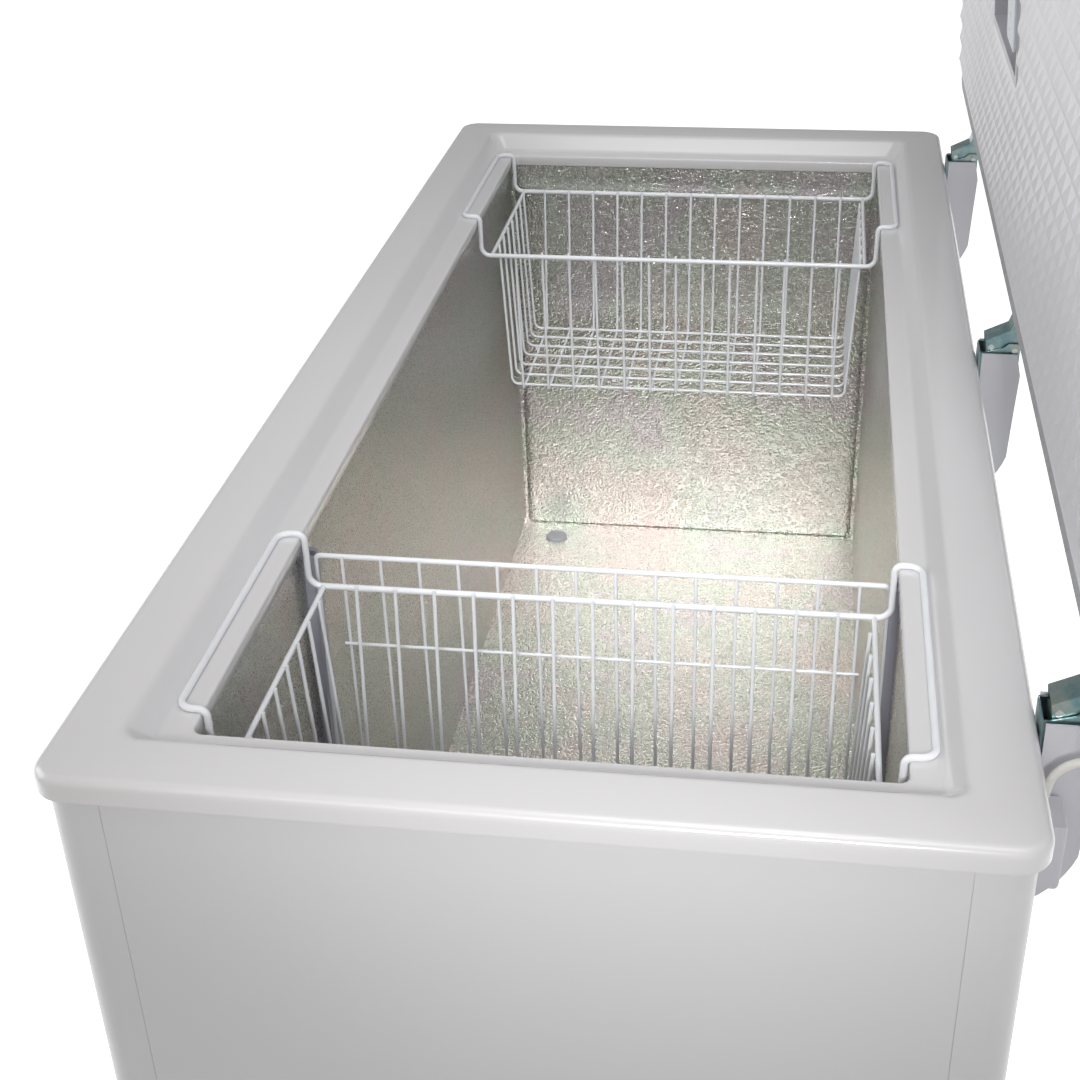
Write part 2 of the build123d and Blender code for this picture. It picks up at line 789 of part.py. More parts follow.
spring_low = spring_seat + 2.4
spring_high = plunger_top - 11.6
coils = []
for x in hinge_places:
    with BuildPart() as coil:
        with BuildLine() as turns:
            Helix(pitch=(spring_high - spring_low) / 9, height=spring_high - spring_low, radius=7.2)
        with BuildSketch(Plane(turns.line @ 0, z_dir=turns.line % 0)):
            Circle(1.1)
        sweep(path=turns.line, is_frenet=True)
    coils.append(Pos(x, 366, spring_low) * coil.part)
hinge_springs = Compound(label="hinge_springs", children=coils)
export_step(hinge_springs, "parts/hinge_springs.step")

# Screws that hold the brackets: domed heads above and below each spring seat.
with BuildPart() as hinge_screws:
    for x in hinge_places:
        for z in (662, 678):
            with BuildSketch(Plane.XZ.offset(-345.5)):
                with Locations((x - 8, z), (x + 8, z)):
                    Circle(3.6)
            extrude(amount=-2.4)
hinge_screws.part.label = "hinge_screws"
export_step(hinge_screws.part, "parts/hinge_screws.step")

# ================= lamp lead =================

box_low_x = 669.5
box_high_x = 703.5
box_top = 746.0
box_low = 690.0
box_back = 370.0
lead_radius = 3.25
lead_start = (box_low_x + 12, 354.5, box_top)
lid_entry = lid_plane.from_local_coords((box_low_x + 25, lid_near_edge - 6.9, -22))

with BuildPart() as lead_junction_box:
    with Locations(((box_low_x + box_high_x) / 2, 343.2, box_low)):
        Box(
            box_high_x - box_low_x,
            box_back - 343.2,
            box_top - box_low,
            align=(Align.CENTER, Align.MIN, Align.MIN),
        )
    fillet(lead_junction_box.faces().sort_by(Axis.Y)[-1].edges(), 4)
lead_junction_box.part.label = "lead_junction_box"
export_step(lead_junction_box.part, "parts/lead_junction_box.step")

grommet_plane = Plane(
    origin=lid_plane.from_local_coords((box_low_x + 25, lid_near_edge, -22)),
    x_dir=(1, 0, 0),
    z_dir=(-along_lid[0], -along_lid[1], -along_lid[2]),
)
with BuildPart() as lead_grommet:
    with BuildSketch(grommet_plane):
        Circle(7.5)
    extrude(amount=6, taper=16)
lead_grommet.part.label = "lead_grommet"
export_step(lead_grommet.part, "parts/lead_grommet.step")

lead_points = (
    lead_start,
    (box_low_x + 12, 354.5, box_top + 22),
    (box_low_x + 14, 365.0, box_top + 39),
    (box_low_x + 18, 384.0, box_top + 48),
    (box_low_x + 22, 398.5, box_top + 58),
    (box_low_x + 24, 405.6, box_top + 70),
    tuple(lid_entry),
)


def roomy_bends(points):
    """For each corner, the largest arc that leaves a tenth of its shorter run straight."""
    bends = []
    for before, corner, after in zip(points, points[1:], points[2:]):
        run_in = Vector(*corner) - Vector(*before)
        run_out = Vector(*after) - Vector(*corner)
        half_turn = math.radians(run_in.get_angle(run_out)) / 2
        bends.append(0.45 * min(run_in.length, run_out.length) / math.tan(half_turn))
    return bends


lead_bends = roomy_bends(lead_points)
lamp_lead = wire(lead_points, lead_radius, lead_bends)
lamp_lead.label = "lamp_lead"
export_step(lamp_lead, "parts/lamp_lead.step")

# ================= refrigeration =================


def loops(length, width, low, high, turns, bend):
    """Points of a rectangular coil that climbs a little along each of its sides."""
    corners = ((-1, -1), (1, -1), (1, 1), (-1, 1))
    steps = 4 * turns
    points = []
    for i in range(steps):
        side_x, side_y = corners[i % 4]
        side_x *= 0.9 if i in (0, steps - 1) else 1.0
        points.append((side_x * length / 2, side_y * width / 2, low + (high - low) * i / (steps - 1)))
    return points, [bend] * (steps - 2)


evaporator_points, evaporator_bends = loops(
    liner_length + 14, liner_width + 14, step_z + 40, liner_top - 40, 3, 10
)
evaporator_tube = wire(evaporator_points, 4.0, evaporator_bends)
evaporator_tube.label = "evaporator_tube"
export_step(evaporator_tube, "parts/evaporator_tube.step")

condenser_points, condenser_bends = loops(
    body_length - 9, body_width - 9, step_z + 25, skirt_z - 45, 3, 36
)
condenser_tube = wire(condenser_points, 2.4, condenser_bends)
condenser_tube.label = "condenser_tube"
export_step(condenser_tube, "parts/condenser_tube.step")

compressor_x = 640.0
compressor_y = 70.0
compressor_low = base_height + 2 + 16
with BuildPart() as compressor:
    with BuildSketch(Plane.XY.offset(compressor_low)):
        with Locations((compressor_x, compressor_y)):
            Ellipse(88, 74)
    extrude(amount=176)
    fillet(compressor.faces().sort_by(Axis.Z)[-1].edges(), 46)
    fillet(compressor.faces().sort_by(Axis.Z)[0].edges(), 24)
    with BuildSketch(Plane.XY.offset(compressor_low + 92)):
        with Locations((compressor_x, compressor_y)):
            Ellipse(92, 78)
    extrude(amount=5)
    with BuildSketch(Plane.XY.offset(compressor_low - 2)):
        with Locations((compressor_x, compressor_y)):
            RectangleRounded(200, 130, 14)
            with GridLocations(170, 100, 2, 2):
                Circle(5.2, mode=Mode.SUBTRACT)
    extrude(amount=3)
compressor.part.label = "compressor"
export_step(compressor.part, "parts/compressor.step")

with BuildPart() as compressor_feet:
    with Locations((compressor_x, compressor_y, base_height + 2)):
        with GridLocations(170, 100, 2, 2):
            Cylinder(11, 13.8, align=(Align.CENTER, Align.CENTER, Align.MIN))
            Cylinder(5, 24, align=(Align.CENTER, Align.CENTER, Align.MIN))
compressor_feet.part.label = "compressor_feet"
export_step(compressor_feet.part, "parts/compressor_feet.step")

with BuildPart() as relay_cover:
    with Locations((compressor_x, compressor_y - 104, compressor_low + 50)):
        Box(62, 48, 74)
    fillet(relay_cover.edges().filter_by(Axis.Y), 8)
relay_cover.part.label = "relay_cover"
export_step(relay_cover.part, "parts/relay_cover.step")

drier_x = 520.0
drier_y = -150.0
with BuildPart() as filter_drier:
    with BuildSketch(Plane.XZ.offset(-drier_y)):
        with BuildLine():
            Polyline(
                (drier_x, 180), (drier_x + 3.3, 180), (drier_x + 3.3, 196), (drier_x + 11, 208),
                (drier_x + 11, 292), (drier_x + 3.3, 304), (drier_x + 3.3, 318), (drier_x, 318),
                close=True,
            )
        make_face()
    revolve(axis=Axis((drier_x, drier_y, 0), (0, 0, 1)))
filter_drier.part.label = "filter_drier"
export_step(filter_drier.part, "parts/filter_drier.step")

pipe_top = compressor_low + 120
pipe_runs = (
    (
        (compressor_x - 86, compressor_y + 30, pipe_top - 40),
        (compressor_x - 120, compressor_y + 40, pipe_top - 40),
        (compressor_x - 120, compressor_y + 60, bay_top - 24),
        (bay_start + 3, compressor_y + 90, bay_top - 24),
    ),
    (
        (drier_x, drier_y, 179.5),
        (drier_x, drier_y, 140),
        (drier_x + 30, drier_y + 60, 140),
        (drier_x + 27, compressor_y - 24, 150),
    ),
    (
        (drier_x, drier_y, 318.5),
        (drier_x, drier_y, 346),
        (drier_x - 12, drier_y + 34, 356),
        (bay_start + 3, drier_y + 60, 356),
    ),
)
refrigerant_pipes = Compound(
    label="refrigerant_pipes", children=[wire(run, 3.2, (11, 11)) for run in pipe_runs]
)
export_step(refrigerant_pipes, "parts/refrigerant_pipes.step")

# ================= drain =================

with BuildPart() as drain_fitting:
    with Locations((drain_x, drain_y, floor_z)):
        Cylinder(17, 1.5, align=(Align.CENTER, Align.CENTER, Align.MIN))
        Cylinder(drain_tube, floor_z - base_height + 1, align=(Align.CENTER, Align.CENTER, Align.MAX))
        Cylinder(drain_spigot, floor_z - drain_end, align=(Align.CENTER, Align.CENTER, Align.MAX))
    with Locations((drain_x, drain_y, floor_z)):
        Cylinder(7.0, 400, mode=Mode.SUBTRACT)
drain_fitting.part.label = "drain_fitting"
export_step(drain_fitting.part, "parts/drain_fitting.step")

with BuildPart() as drain_plug:
    with Locations((drain_x, drain_y, floor_z + 1.5)):
        Cylinder(15, 3.5, align=(Align.CENTER, Align.CENTER, Align.MIN))
        Cylinder(6.6, 14, align=(Align.CENTER, Align.CENTER, Align.MAX))
    fillet(drain_plug.faces().sort_by(Axis.Z)[-1].edges(), 1.5)
    with Locations((drain_x, drain_y, floor_z + 5)):
        Cylinder(8, 2.4, mode=Mode.SUBTRACT)
        Box(15.6, 3, 2.4)
drain_plug.part.label = "drain_plug"
export_step(drain_plug.part, "parts/drain_plug.step")

# ================= front and rear grilles, controls =================

front_y = -body_width / 2
knob_x = grille_x - 60
knob_z = grille_z + 70
lamp_row_x = grille_x + 25
with BuildPart() as front_grille:
    with BuildSketch(Plane.XZ.offset(-front_y)):
        with Locations((grille_x, grille_z)):
            RectangleRounded(grille_wide, grille_high, 12)
    extrude(amount=4)
    fillet(front_grille.faces().sort_by(Axis.Y)[0].edges(), 2)
    with BuildSketch(Plane.XZ.offset(-front_y)):
        with Locations((grille_x, grille_z)):
            Rectangle(grille_wide - 11, grille_high - 11)
            Rectangle(grille_wide - 15, grille_high - 15, mode=Mode.SUBTRACT)
    extrude(amount=-9)
    with Locations((grille_x, front_y, grille_z - 36)):
        for i in range(8):
            with Locations((0, 0, (i - 3.5) * 15)):
                Box(190, 20, 6, mode=Mode.SUBTRACT)
    with BuildSketch(Plane.XZ.offset(-front_y + 5)):
        with Locations((knob_x, knob_z)):
            Circle(5.0)
        with Locations((lamp_row_x, knob_z)):
            with GridLocations(26, 0, 3, 1):
                Circle(4.0)
    extrude(amount=-14, mode=Mode.SUBTRACT)
front_grille.part.label = "front_grille"
export_step(front_grille.part, "parts/front_grille.step")

with BuildPart() as rear_grille:
    with BuildSketch(Plane.XZ.offset(front_y)):
        with Locations((rear_grille_x, grille_z)):
            RectangleRounded(rear_grille_wide, grille_high, 12)
    extrude(amount=-3)
    for i in range(12):
        with Locations((rear_grille_x, -front_y, grille_z + (i - 5.5) * 15)):
            Box(rear_grille_wide - 30, 20, 6, mode=Mode.SUBTRACT)
rear_grille.part.label = "rear_grille"
export_step(rear_grille.part, "parts/rear_grille.step")

with BuildPart() as indicator_lamps:
    with BuildSketch(Plane.XZ.offset(-front_y + 5.5)):
        with Locations((lamp_row_x, knob_z)):
            with GridLocations(26, 0, 3, 1):
                Circle(3.9)
    extrude(amount=-14)
indicator_lamps.part.label = "indicator_lamps"
export_step(indicator_lamps.part, "parts/indicator_lamps.step")

with BuildPart() as thermostat_knob:
    with BuildSketch(Plane.XZ.offset(-front_y + 4.5)):
        with Locations((knob_x, knob_z)):
            Circle(19)
    extrude(amount=14, taper=6)
    fillet(thermostat_knob.faces().sort_by(Axis.Y)[0].edges(), 2)
    with Locations((knob_x, front_y - 18, knob_z + 10)):
        Box(2.4, 6, 14, mode=Mode.SUBTRACT)
    with BuildSketch(Plane.XZ.offset(-front_y + 4.5)):
        with Locations((knob_x, knob_z)):
            Circle(3.0)
    extrude(amount=-22)
thermostat_knob.part.label = "thermostat_knob"
export_step(thermostat_knob.part, "parts/thermostat_knob.step")

with BuildPart() as thermostat_body:
    with Locations((knob_x, front_y + 25, knob_z)):
        Box(46, 28, 40)
    with BuildSketch(Plane.XZ.offset(-front_y)):
        with Locations((knob_x, knob_z)):
            Circle(3.4)
    extrude(amount=-22, mode=Mode.SUBTRACT)
thermostat_body.part.label = "thermostat_body"
export_step(thermostat_body.part, "parts/thermostat_body.step")

gland_bore = 4.25
gland_length = 16.0
with BuildPart() as mains_gland:
    with BuildSketch(Plane.XZ.offset(front_y)):
        with Locations((gland_x, gland_z)):
            Circle(13)
    extrude(amount=-6)
    with BuildSketch(Plane.XZ.offset(front_y)):
        with Locations((gland_x, gland_z)):
            Circle(8.6)
    extrude(amount=gland_length - 6)
    with BuildSketch(Plane.XZ.offset(front_y - 6)):
        with Locations((gland_x, gland_z)):
            Circle(gland_bore)
    extrude(amount=gland_length, mode=Mode.SUBTRACT)
mains_gland.part.label = "mains_gland"
export_step(mains_gland.part, "parts/mains_gland.step")

# ================= castors =================

fork_half = wheel_width / 2 + 1.5
fork_sheet = 2.5
with BuildPart() as castor_brackets:
    for x in (-castor_x, castor_x):
        for y in (-castor_y, castor_y):
            with Locations((x, y, base_height - 0.05)):
                Box(64, 42, 3, align=(Align.CENTER, Align.CENTER, Align.MAX))
            for side in (-1, 1):
                with BuildSketch(Plane.XZ.offset(-y - side * (fork_half + fork_sheet / 2))):
                    with BuildLine():
                        Polyline(
                            (x - 28, base_height - 1),
                            (x - 9, wheel_radius - 6),
                            (x + 9, wheel_radius - 6),
                            (x + 28, base_height - 1),
                            close=True,
                        )
                    make_face()
                    with Locations((x, wheel_radius)):
                        Circle(axle_radius, mode=Mode.SUBTRACT)
                extrude(amount=fork_sheet / 2, both=True)
castor_brackets.part.label = "castor_brackets"
export_step(castor_brackets.part, "parts/castor_brackets.step")

with BuildPart() as castor_axles:
    with Locations(*[(x, y, wheel_radius) for x in (-castor_x, castor_x) for y in (-castor_y, castor_y)]):
        Cylinder(axle_radius, 2 * (fork_half + fork_sheet) + 3, rotation=(90, 0, 0))
castor_axles.part.label = "castor_axles"
export_step(castor_axles.part, "parts/castor_axles.step")

wheel_names = {
    (-1, -1): "castor_wheel_front_left",
    (1, -1): "castor_wheel_front_right",
    (-1, 1): "castor_wheel_rear_left",
    (1, 1): "castor_wheel_rear_right",
}
for (side_x, side_y), name in wheel_names.items():
    with BuildPart() as wheel:
        wheel_plane = Plane.XZ.offset(-side_y * castor_y + wheel_width / 2)
        with BuildSketch(wheel_plane):
            with Locations((side_x * castor_x, wheel_radius)):
                Circle(wheel_radius)
                Circle(axle_radius + 0.08, mode=Mode.SUBTRACT)
        extrude(amount=-wheel_width)
        fillet(wheel.edges().filter_by(GeomType.CIRCLE).group_by(SortBy.RADIUS)[-1], 3)
        for face_side in (-1, 1):
            with BuildSketch(Plane.XZ.offset(-side_y * castor_y + face_side * wheel_width / 2)):
                with Locations((side_x * castor_x, wheel_radius)):
                    Circle(17)
                    Circle(9, mode=Mode.SUBTRACT)
            extrude(amount=-face_side * 3, mode=Mode.SUBTRACT)
    wheel.part.label = name
    export_step(wheel.part, f"parts/{name}.step")

lead_runs = [(Vector(*b) - Vector(*a)).length for a, b in zip(lead_points, lead_points[1:])]
print("lead radii", [round(bend, 1) for bend in lead_bends])
print("lead runs", [round(run, 1) for run in lead_runs])
print("lead length", round(lamp_lead.volume / (math.pi * lead_radius**2), 1))
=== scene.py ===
import json
import math

import bpy
from mathutils import Matrix, Vector


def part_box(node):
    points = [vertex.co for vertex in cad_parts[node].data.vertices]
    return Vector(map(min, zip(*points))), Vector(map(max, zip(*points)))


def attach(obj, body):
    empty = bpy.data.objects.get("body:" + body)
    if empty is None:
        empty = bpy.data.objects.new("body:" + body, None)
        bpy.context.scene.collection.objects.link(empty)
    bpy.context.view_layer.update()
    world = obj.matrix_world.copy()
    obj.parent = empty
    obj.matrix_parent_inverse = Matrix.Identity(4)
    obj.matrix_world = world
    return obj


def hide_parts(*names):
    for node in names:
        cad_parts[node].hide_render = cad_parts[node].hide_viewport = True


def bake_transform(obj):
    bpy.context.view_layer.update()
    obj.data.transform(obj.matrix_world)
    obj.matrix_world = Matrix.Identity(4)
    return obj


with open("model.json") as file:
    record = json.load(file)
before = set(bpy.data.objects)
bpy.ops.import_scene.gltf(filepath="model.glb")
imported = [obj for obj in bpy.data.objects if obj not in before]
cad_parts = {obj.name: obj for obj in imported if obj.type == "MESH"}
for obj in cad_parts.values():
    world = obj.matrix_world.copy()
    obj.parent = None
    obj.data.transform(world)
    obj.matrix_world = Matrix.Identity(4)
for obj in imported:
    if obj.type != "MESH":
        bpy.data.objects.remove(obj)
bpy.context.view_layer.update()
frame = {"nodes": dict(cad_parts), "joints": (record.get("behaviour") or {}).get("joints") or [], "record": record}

print("stage: frame loaded,", len(frame["nodes"]), "nodes")

# places read from the frame
record = frame["record"]
slotOf = {row["node"]: row["material_slot"] for row in record["subparts"]}
lidJoint = next(joint for joint in frame["joints"] if joint["name"] == "lid_hinge")
pivot = Vector(lidJoint["pos_m"])
openLean = math.radians(90 - max(abs(limit) for limit in lidJoint["range_deg"]))
alongLid = Vector((0, -math.sin(openLean), math.cos(openLean)))
intoLid = Vector((0, -math.cos(openLean), -math.sin(openLean)))
lidFrame = Matrix((
    (1, 0, 0, pivot.x),
    (0, alongLid.y, intoLid.y, pivot.y),
    (0, alongLid.z, intoLid.z, pivot.z),
    (0, 0, 0, 1),
))


def boxOf(node):
    low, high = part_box(node)
    return Vector(low), Vector(high)


collarLow, collarHigh = boxOf("top_collar")
rimZ = collarHigh.z


# small tools
def linkObject(name, data):
    thing = bpy.data.objects.new(name, data)
    bpy.context.collection.objects.link(thing)
    return thing


def meshObject(name, points, faces, material, smoothAngle=40):
    mesh = bpy.data.meshes.new(name)
    mesh.from_pydata([tuple(point) for point in points], [], faces)
    mesh.validate()
    mesh.shade_smooth()
    mesh.set_sharp_from_angle(angle=math.radians(smoothAngle))
    mesh.materials.append(material)
    return linkObject(name, mesh)


def cornerRing(halfX, halfY, radius, steps):
    ring = []
    for signX, signY, start in ((1, 1, 0), (-1, 1, 90), (-1, -1, 180), (1, -1, 270)):
        for i in range(steps + 1):
            turn = math.radians(start + 90 * i / steps)
            middleX, middleY = signX * (halfX - radius), signY * (halfY - radius)
            ring.append((middleX + radius * math.cos(turn), middleY + radius * math.sin(turn)))
    return ring


def ringShell(name, halfX, halfY, profile, material, place=None, steps=12, smoothAngle=40, flip=False):
    points, faces = [], []
    count = 4 * (steps + 1)
    for insetX, insetY, radius, height in profile:
        points += [(x, y, height) for x, y in cornerRing(halfX - insetX, halfY - insetY, radius, steps)]
    rings = len(profile)
    for i in range(rings):
        for k in range(count):
            a, b = i * count + k, i * count + (k + 1) % count
            c, d = ((i + 1) % rings) * count + (k + 1) % count, ((i + 1) % rings) * count + k
            faces.append((a, d, c, b) if flip else (a, b, c, d))
    if place is not None:
        points = [place @ Vector(point) for point in points]
    return meshObject(name, points, faces, material, smoothAngle)


def arc(centreInset, centreHeight, radius, start, end, steps):
    for i in range(steps + 1):
        turn = math.radians(start + (end - start) * i / steps)
        yield centreInset + radius * math.cos(turn), centreHeight + radius * math.sin(turn)


# node materials
def startMaterial(name, colour, roughness, metallic=0.0, coat=0.0, specular=0.5):
    material = bpy.data.materials.new(name)
    material.use_nodes = True
    tree = material.node_tree
    shader = tree.nodes["Principled BSDF"]
    shader.inputs["Base Color"].default_value = (*colour, 1)
    shader.inputs["Roughness"].default_value = roughness
    shader.inputs["Metallic"].default_value = metallic
    shader.inputs["Coat Weight"].default_value = coat
    shader.inputs["Specular IOR Level"].default_value = specular
    place = tree.nodes.new("ShaderNodeTexCoord")
    return material, tree, shader, place.outputs["Object"]


def mapped(tree, place, scale):
    mapping = tree.nodes.new("ShaderNodeMapping")
    mapping.inputs["Scale"].default_value = scale
    tree.links.new(place, mapping.inputs["Vector"])
    return mapping.outputs["Vector"]


def noise(tree, place, scale, detail=3.0, rough=0.5):
    node = tree.nodes.new("ShaderNodeTexNoise")
    node.inputs["Scale"].default_value = scale
    node.inputs["Detail"].default_value = detail
    node.inputs["Roughness"].default_value = rough
    tree.links.new(place, node.inputs["Vector"])
    return node.outputs["Fac"]


def cells(tree, place, scale, smooth=0.6):
    node = tree.nodes.new("ShaderNodeTexVoronoi")
    node.feature = "SMOOTH_F1"
    node.inputs["Scale"].default_value = scale
    node.inputs["Smoothness"].default_value = smooth
    tree.links.new(place, node.inputs["Vector"])
    return node.outputs["Distance"]


def ramp(tree, value, stops):
    node = tree.nodes.new("ShaderNodeValToRGB")
    elements = node.color_ramp.elements
    while len(elements) < len(stops):
        elements.new(0.5)
    for element, (position, colour) in zip(elements, stops):
        element.position = position
        element.color = (*colour, 1)
    tree.links.new(value, node.inputs["Fac"])
    return node.outputs["Color"]


def spread(tree, value, low, high):
    node = tree.nodes.new("ShaderNodeMapRange")
    node.inputs["To Min"].default_value = low
    node.inputs["To Max"].default_value = high
    tree.links.new(value, node.inputs["Value"])
    return node.outputs["Result"]


def bump(tree, shader, height, strength, distance, below=None):
    node = tree.nodes.new("ShaderNodeBump")
    node.inputs["Strength"].default_value = strength
    node.inputs["Distance"].default_value = distance
    tree.links.new(height, node.inputs["Height"])
    if below is not None:
        tree.links.new(below, node.inputs["Normal"])
    tree.links.new(node.outputs["Normal"], shader.inputs["Normal"])
    return node.outputs["Normal"]


def shade(colour, factor):
    return tuple(min(1.0, channel * factor) for channel in colour)


def mouldedPlastic(name, colour, roughness, grain=900.0, grainDepth=0.00006, coat=0.0, vary=0.03):
    material, tree, shader, place = startMaterial(name, colour, roughness, coat=coat)
    shader.inputs["Coat Roughness"].default_value = 0.07
    cloud = noise(tree, place, 4.0, 4.0)
    tone = ramp(tree, cloud, ((0.3, shade(colour, 1 - vary)), (0.7, shade(colour, 1 + vary))))
    tree.links.new(tone, shader.inputs["Base Color"])
    wear = spread(tree, noise(tree, place, 22.0, 5.0), roughness * 0.8, roughness * 1.25)
    tree.links.new(wear, shader.inputs["Roughness"])
    bump(tree, shader, noise(tree, place, grain, 2.0), 0.35, grainDepth)
    return material


def coatedSteel(name, colour, roughness=0.3):
    material, tree, shader, place = startMaterial(name, colour, roughness, coat=0.25)
    shader.inputs["Coat Roughness"].default_value = 0.12
    cloud = noise(tree, place, 2.2, 4.0)
    tone = ramp(tree, cloud, ((0.3, shade(colour, 0.985)), (0.7, shade(colour, 1.015))))
    tree.links.new(tone, shader.inputs["Base Color"])
    wear = spread(tree, noise(tree, place, 14.0, 5.0), roughness * 0.85, roughness * 1.15)
    tree.links.new(wear, shader.inputs["Roughness"])
    peel = bump(tree, shader, noise(tree, place, 420.0, 2.0), 0.25, 0.00008)
    bump(tree, shader, noise(tree, place, 3.0, 2.0), 0.25, 0.0012, peel)
    return material


def embossedLiner(name, level=1.0, pebbleScale=290.0, depth=0.0012):
    # level below 1 darkens the whole colour: painted shade for walls that sit out of the light
    plain = (0.80, 0.78, 0.74)
    material, tree, shader, place = startMaterial(name, shade(plain, level), 0.3, metallic=1.0)
    warped = tree.nodes.new("ShaderNodeVectorMath")
    warped.operation = "MULTIPLY_ADD"
    drift = tree.nodes.new("ShaderNodeTexNoise")
    drift.inputs["Scale"].default_value = 120.0
    tree.links.new(place, drift.inputs["Vector"])
    tree.links.new(drift.outputs["Color"], warped.inputs[0])
    warped.inputs[1].default_value = (0.004, 0.004, 0.004)
    tree.links.new(place, warped.inputs[2])
    pebble = cells(tree, warped.outputs["Vector"], pebbleScale, 0.3)
    pink, green, mauve = (0.83, 0.76, 0.73), (0.755, 0.79, 0.72), (0.80, 0.75, 0.765)
    tones = ((0.36, pink), (0.46, plain), (0.54, green), (0.64, mauve))
    stops = [(position, shade(tone, level)) for position, tone in tones]
    tint = ramp(tree, noise(tree, place, 6.0, 3.0, 0.6), stops)
    tree.links.new(tint, shader.inputs["Base Color"])
    tree.links.new(spread(tree, pebble, 0.20, 0.36), shader.inputs["Roughness"])
    under = bump(tree, shader, noise(tree, place, 1500.0, 2.0), 0.25, 0.00005)
    bump(tree, shader, pebble, 0.8, depth, under)
    return material


def zincPlate(name):
    material, tree, shader, place = startMaterial(name, (0.30, 0.42, 0.45), 0.3, metallic=1.0)
    tint = ramp(
        tree,
        noise(tree, place, 60.0, 3.0, 0.6),
        ((0.3, (0.20, 0.36, 0.42)), (0.5, (0.36, 0.50, 0.50)), (0.7, (0.58, 0.60, 0.52))),
    )
    tree.links.new(tint, shader.inputs["Base Color"])
    streak = noise(tree, mapped(tree, place, (60, 900, 900)), 1.0, 3.0)
    tree.links.new(spread(tree, streak, 0.22, 0.42), shader.inputs["Roughness"])
    bump(tree, shader, streak, 0.25, 0.00008)
    return material


def drawnMetal(name, colour, roughness, streakScale=(900, 60, 900)):
    material, tree, shader, place = startMaterial(name, colour, roughness, metallic=1.0)
    streak = noise(tree, mapped(tree, place, streakScale), 1.0, 3.0)
    tone = ramp(tree, streak, ((0.3, shade(colour, 0.88)), (0.7, shade(colour, 1.1))))
    tree.links.new(tone, shader.inputs["Base Color"])
    tree.links.new(spread(tree, streak, roughness * 0.75, roughness * 1.3), shader.inputs["Roughness"])
    bump(tree, shader, streak, 0.2, 0.00006)
    return material


def rubberLike(name, colour, roughness=0.62):
    material, tree, shader, place = startMaterial(name, colour, roughness, specular=0.35)
    stops = ((0.3, shade(colour, 0.92)), (0.7, shade(colour, 1.08)))
    tone = ramp(tree, noise(tree, place, 30.0, 4.0), stops)
    tree.links.new(tone, shader.inputs["Base Color"])
    bump(tree, shader, noise(tree, place, 1200.0, 2.0), 0.3, 0.00006)
    return material


def clearPlastic(name, colour, roughness, alpha):
    material, tree, shader, place = startMaterial(name, colour, roughness)
    shader.inputs["Alpha"].default_value = alpha
    haze = spread(tree, noise(tree, place, 140.0, 3.0), roughness * 0.7, roughness * 1.3)
    tree.links.new(haze, shader.inputs["Roughness"])
    ribs = noise(tree, mapped(tree, place, (260, 12, 12)), 1.0, 1.0)
    bump(tree, shader, ribs, 0.3, 0.0004)
    return material


def foamLike(name):
    colour = (0.84, 0.74, 0.48)
    material, tree, shader, place = startMaterial(name, colour, 0.85)
    stops = ((0.3, shade(colour, 0.85)), (0.7, shade(colour, 1.05)))
    tone = ramp(tree, noise(tree, place, 40.0, 5.0), stops)
    tree.links.new(tone, shader.inputs["Base Color"])
    bump(tree, shader, cells(tree, place, 500.0), 0.4, 0.0006)
    return material


collarWhite = (0.735, 0.728, 0.738)
paintWhite = (0.70, 0.70, 0.715)
makers = {
    "coated_steel": lambda: coatedSteel("coatedSteel", paintWhite),
    "lid_skin": lambda: coatedSteel("lidSkin", paintWhite),
    "collar_moulding": lambda: mouldedPlastic(
        "collarMoulding", collarWhite, 0.2, 700.0, 0.00003, 0.55, 0.012
    ),
    "lid_moulding": lambda: mouldedPlastic(
        "lidMoulding", (0.85, 0.845, 0.875), 0.36, 900.0, 0.00005, 0.0, 0.015
    ),
    "foam": lambda: foamLike("blownFoam"),
    "liner_metal": lambda: embossedLiner("embossedLiner"),
    "wire_coating": lambda: mouldedPlastic(
        "wireCoating", (0.86, 0.88, 0.915), 0.24, 500.0, 0.00005, 0.35
    ),
    "guide_plastic": lambda: mouldedPlastic("guidePlastic", (0.36, 0.36, 0.42), 0.4),
    "zinc_steel": lambda: zincPlate("zincPlate"),
    "bright_pin": lambda: drawnMetal("brightPin", (0.74, 0.74, 0.73), 0.2),
    "spring_steel": lambda: drawnMetal("springSteel", (0.34, 0.33, 0.32), 0.34),
    "seal_rubber": lambda: rubberLike("sealRubber", (0.50, 0.505, 0.53)),
    "cover_plastic": lambda: mouldedPlastic(
        "coverPlastic", (0.60, 0.60, 0.64), 0.42, 800.0, 0.00012, 0.0, 0.02
    ),
    "lamp_clear": lambda: clearPlastic("lampClear", (0.66, 0.72, 0.77), 0.3, 0.82),
    "bulb_glass": lambda: clearPlastic("bulbGlass", (0.86, 0.85, 0.80), 0.12, 0.6),
    "lead_sheath": lambda: rubberLike("leadSheath", (0.72, 0.71, 0.67), 0.42),
    "black_steel": lambda: coatedSteel("blackSteel", (0.02, 0.02, 0.022)),
    "black_plastic": lambda: mouldedPlastic("blackPlastic", (0.03, 0.03, 0.033), 0.42, vary=0.15),
    "foot_rubber": lambda: rubberLike("footRubber", (0.025, 0.025, 0.025)),
    "copper": lambda: drawnMetal("copperTube", (0.72, 0.36, 0.22), 0.28),
    "tube_steel": lambda: drawnMetal("tubeSteel", (0.28, 0.27, 0.26), 0.4),
    "drain_plastic": lambda: mouldedPlastic("drainPlastic", (0.52, 0.53, 0.56), 0.4),
    "lens_plastic": lambda: clearPlastic("lensPlastic", (0.30, 0.52, 0.16), 0.18, 0.9),
    "wheel_plastic": lambda: mouldedPlastic("wheelPlastic", (0.035, 0.035, 0.038), 0.5, vary=0.12),
}
materials = {slotName: make() for slotName, make in makers.items()}
